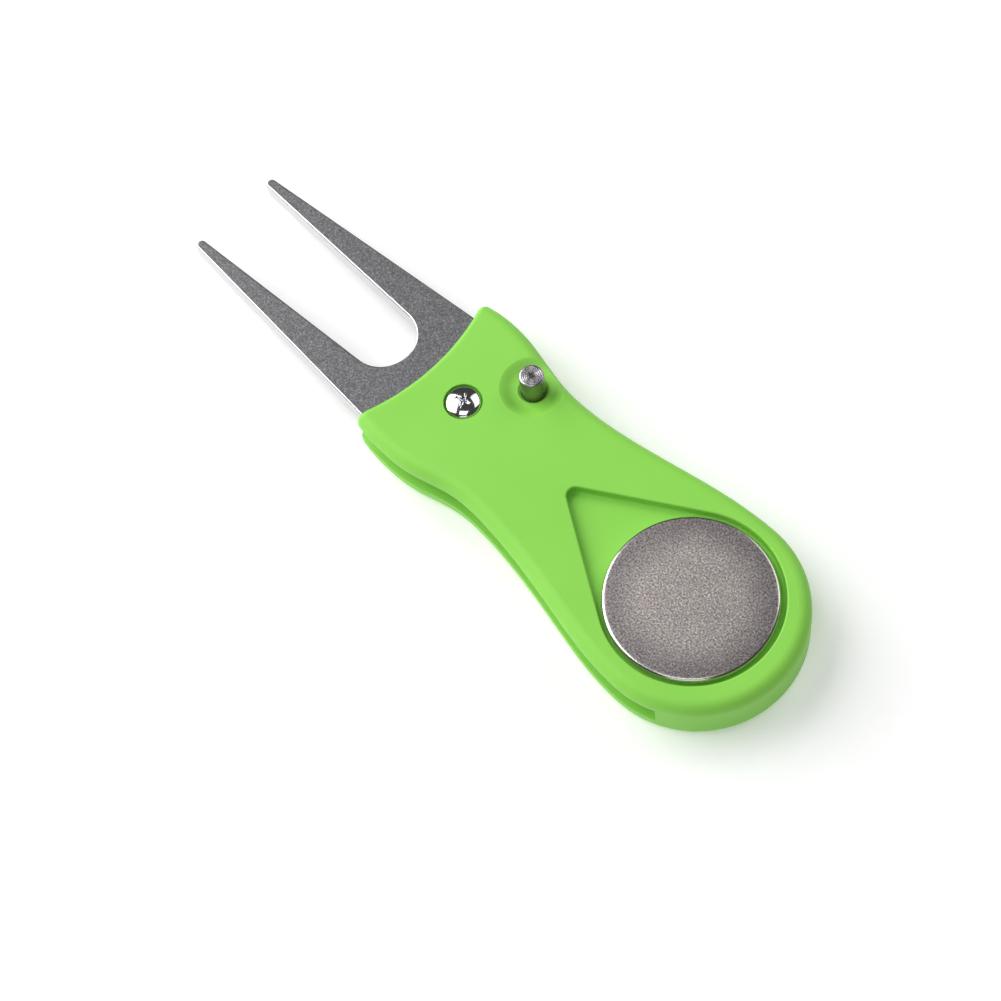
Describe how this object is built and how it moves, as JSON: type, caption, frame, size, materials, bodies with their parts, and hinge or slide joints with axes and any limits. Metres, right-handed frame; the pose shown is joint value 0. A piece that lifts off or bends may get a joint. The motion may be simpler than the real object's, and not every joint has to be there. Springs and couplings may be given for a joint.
{
  "type": "divot repair tool",
  "caption": "Folding golf divot repair tool: a two-prong steel fork swings out of a waisted two-shell handle with a release button and a magnetic ball marker.",
  "frame": {"origin": "middle of the bounding box in plan, on the back face the tool lies on", "axes": "+X towards the prong tips, +Y towards the side slot the fork folds into, +Z out of the face with the ball marker"},
  "size_m": [0.1101, 0.031, 0.0123],
  "materials": {
    "green_abs": "satin moulded ABS, lime green",
    "fork_steel": "tumbled stainless, fine dark grain, bright broken edges",
    "plated_steel": "bright nickel plated",
    "washer_steel": "plain",
    "spring_steel": "drawn wire",
    "button_steel": "turned and polished",
    "marker_steel": "grained nickel face, polished rim",
    "magnet_nickel": "nickel plated",
    "screw_steel": "zinc plated"
  },
  "bodies": {
    "handle": {"front_cover": "green_abs", "back_cover": "green_abs", "pivot_screw": "plated_steel", "pivot_nut": "plated_steel", "front_washer": "washer_steel", "back_washer": "washer_steel", "fork_spring": "spring_steel", "button_spring": "spring_steel", "stop_pin": "plated_steel", "marker_magnet": "magnet_nickel", "case_screw_1": "screw_steel", "case_screw_2": "screw_steel", "case_screw_3": "screw_steel"},
    "fork": {"fork": "fork_steel"},
    "button": {"release_button": "button_steel"},
    "marker": {"ball_marker": "marker_steel"}
  },
  "joints": [
    {"name": "fork_fold", "type": "hinge", "parent": "handle", "child": "fork", "pos_m": [0.0053, 0.00025, 0.005], "axis": [0, 0, 1], "range_deg": [0, 176], "stiffness_Nm_per_rad": 0.004, "springref_deg": -17.19, "deforming": ["fork_spring"]},
    {"name": "button_press", "type": "slide", "parent": "handle", "child": "button", "axis": [0, 0, -1], "range_m": [0, 0.0014], "stiffness_N_per_m": 500, "springref_m": -0.0001, "deforming": ["button_spring"]},
    {"name": "marker_lift", "type": "slide", "parent": "handle", "child": "marker", "axis": [0, 0, 1], "range_m": [0, 0.03]}
  ]
}
